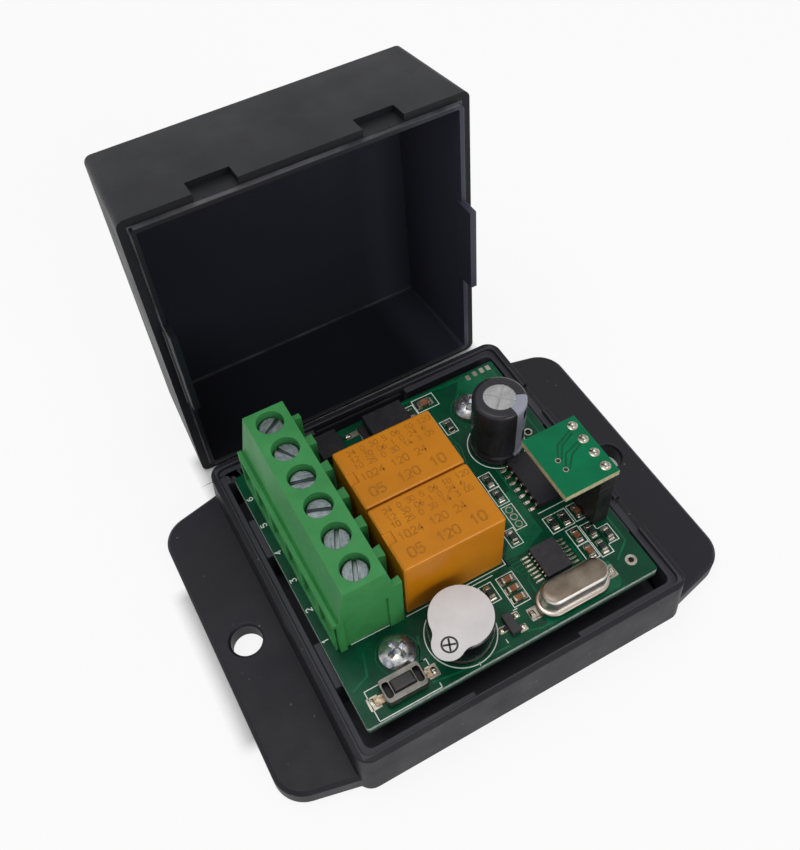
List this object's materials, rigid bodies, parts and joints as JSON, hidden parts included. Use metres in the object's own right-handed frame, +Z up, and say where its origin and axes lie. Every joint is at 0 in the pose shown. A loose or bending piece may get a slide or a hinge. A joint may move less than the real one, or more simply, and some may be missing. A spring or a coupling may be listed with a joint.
{
  "type": "micro radio receiver",
  "caption": "Small open plastic box with fixing ears: radio receiver board with relays, screw terminals, buzzer, push button and plug-in radio, its clipped cover stood behind.",
  "frame": {"origin": "middle of the base's flat underside", "axes": "+Z up out of the open base, +X from the terminal block to the radio board, +Y from the push button to the cover"},
  "size_m": [0.071, 0.0788, 0.0513],
  "materials": {
    "box_plastic": "satin moulded black",
    "board_laminate": "green solder mask over glass laminate",
    "terminal_plastic": "moulded green",
    "relay_plastic": "moulded orange",
    "zinc_steel": "bright zinc plate",
    "tinned_metal": "tinned",
    "copper_wire": "enamelled winding",
    "soft_iron": "plain",
    "black_plastic": "moulded black",
    "can_aluminium": "drawn",
    "sleeve_film": "black shrink sleeve",
    "bung_rubber": "matt",
    "label_paper": "white film",
    "crystal_nickel": "nickel plate",
    "dark_ceramic": "glazed",
    "tan_ceramic": "fired"
  },
  "bodies": {
    "receiver": {"base_tray": "box_plastic", "lid_cover": "box_plastic", "main_board": "board_laminate", "board_screws": "zinc_steel", "terminal_housing": "terminal_plastic", "terminal_contacts": "tinned_metal", "buzzer_case": "black_plastic", "buzzer_base": "black_plastic", "buzzer_magnet": "soft_iron", "buzzer_diaphragm": "soft_iron", "buzzer_label": "label_paper", "capacitor_can": "can_aluminium", "capacitor_sleeve": "sleeve_film", "capacitor_bung": "bung_rubber", "receiver_board": "board_laminate", "receiver_socket": "black_plastic", "receiver_header": "black_plastic", "receiver_pins": "tinned_metal", "receiver_chip": "black_plastic", "crystal_can": "crystal_nickel", "crystal_base": "tinned_metal", "controller_chip": "black_plastic", "driver_chip": "black_plastic", "chip_leads": "tinned_metal", "transistor": "black_plastic", "regulator": "black_plastic", "rectifier": "black_plastic", "chip_resistors": "dark_ceramic", "chip_capacitors": "tan_ceramic", "chip_ends": "tinned_metal", "switch_frame": "tinned_metal", "switch_base": "black_plastic", "switch_dome": "tinned_metal", "switch_terminals": "tinned_metal", "relay_case_1": "relay_plastic", "relay_base_1": "black_plastic", "relay_coil_1": "copper_wire", "relay_yoke_1": "soft_iron", "relay_contacts_1": "tinned_metal", "relay_case_2": "relay_plastic", "relay_base_2": "black_plastic", "relay_coil_2": "copper_wire", "relay_yoke_2": "soft_iron", "relay_contacts_2": "tinned_metal"},
    "screw_1": {"terminal_screw_1": "zinc_steel"},
    "clamp_1": {"wire_clamp_1": "tinned_metal"},
    "screw_2": {"terminal_screw_2": "zinc_steel"},
    "clamp_2": {"wire_clamp_2": "tinned_metal"},
    "screw_3": {"terminal_screw_3": "zinc_steel"},
    "clamp_3": {"wire_clamp_3": "tinned_metal"},
    "screw_4": {"terminal_screw_4": "zinc_steel"},
    "clamp_4": {"wire_clamp_4": "tinned_metal"},
    "screw_5": {"terminal_screw_5": "zinc_steel"},
    "clamp_5": {"wire_clamp_5": "tinned_metal"},
    "screw_6": {"terminal_screw_6": "zinc_steel"},
    "clamp_6": {"wire_clamp_6": "tinned_metal"},
    "armature_1": {"relay_armature_1": "soft_iron"},
    "armature_2": {"relay_armature_2": "soft_iron"},
    "button": {"switch_button": "black_plastic"}
  },
  "joints": [
    {"name": "screw_turn_1", "type": "hinge", "parent": "receiver", "child": "screw_1", "pos_m": [-0.0163, -0.00839, 0.0234], "axis": [0, 0, -1], "range_deg": [0, 1800]},
    {"name": "clamp_rise_1", "type": "slide", "parent": "receiver", "child": "clamp_1", "axis": [0, 0, 1], "range_m": [0, 0.0025]},
    {"name": "screw_turn_2", "type": "hinge", "parent": "receiver", "child": "screw_2", "pos_m": [-0.0163, -0.00331, 0.0234], "axis": [0, 0, -1], "range_deg": [0, 1800]},
    {"name": "clamp_rise_2", "type": "slide", "parent": "receiver", "child": "clamp_2", "axis": [0, 0, 1], "range_m": [0, 0.0025]},
    {"name": "screw_turn_3", "type": "hinge", "parent": "receiver", "child": "screw_3", "pos_m": [-0.0163, 0.00177, 0.0234], "axis": [0, 0, -1], "range_deg": [0, 1800]},
    {"name": "clamp_rise_3", "type": "slide", "parent": "receiver", "child": "clamp_3", "axis": [0, 0, 1], "range_m": [0, 0.0025]},
    {"name": "screw_turn_4", "type": "hinge", "parent": "receiver", "child": "screw_4", "pos_m": [-0.0163, 0.00685, 0.0234], "axis": [0, 0, -1], "range_deg": [0, 1800]},
    {"name": "clamp_rise_4", "type": "slide", "parent": "receiver", "child": "clamp_4", "axis": [0, 0, 1], "range_m": [0, 0.0025]},
    {"name": "screw_turn_5", "type": "hinge", "parent": "receiver", "child": "screw_5", "pos_m": [-0.0163, 0.01193, 0.0234], "axis": [0, 0, -1], "range_deg": [0, 1800]},
    {"name": "clamp_rise_5", "type": "slide", "parent": "receiver", "child": "clamp_5", "axis": [0, 0, 1], "range_m": [0, 0.0025]},
    {"name": "screw_turn_6", "type": "hinge", "parent": "receiver", "child": "screw_6", "pos_m": [-0.0163, 0.01701, 0.0234], "axis": [0, 0, -1], "range_deg": [0, 1800]},
    {"name": "clamp_rise_6", "type": "slide", "parent": "receiver", "child": "clamp_6", "axis": [0, 0, 1], "range_m": [0, 0.0025]},
    {"name": "armature_rock_1", "type": "hinge", "parent": "receiver", "child": "armature_1", "pos_m": [0.0004, -0.0055, 0.019], "axis": [0, -1, 0], "range_deg": [0, 2.5], "stiffness_Nm_per_rad": 0.01, "springref_deg": -1.15},
    {"name": "armature_rock_2", "type": "hinge", "parent": "receiver", "child": "armature_2", "pos_m": [0.0004, 0.00495, 0.019], "axis": [0, -1, 0], "range_deg": [0, 2.5], "stiffness_Nm_per_rad": 0.01, "springref_deg": -1.15},
    {"name": "button_press", "type": "slide", "parent": "receiver", "child": "button", "axis": [0, 0, -1], "range_m": [0, 0.00025], "stiffness_N_per_m": 5000, "springref_m": -0.0001}
  ],
  "couplings": [
    {"joint": "screw_turn_1", "follows": "clamp_rise_1", "rad_per_m": 12566},
    {"joint": "screw_turn_2", "follows": "clamp_rise_2", "rad_per_m": 12566},
    {"joint": "screw_turn_3", "follows": "clamp_rise_3", "rad_per_m": 12566},
    {"joint": "screw_turn_4", "follows": "clamp_rise_4", "rad_per_m": 12566},
    {"joint": "screw_turn_5", "follows": "clamp_rise_5", "rad_per_m": 12566},
    {"joint": "screw_turn_6", "follows": "clamp_rise_6", "rad_per_m": 12566}
  ]
}
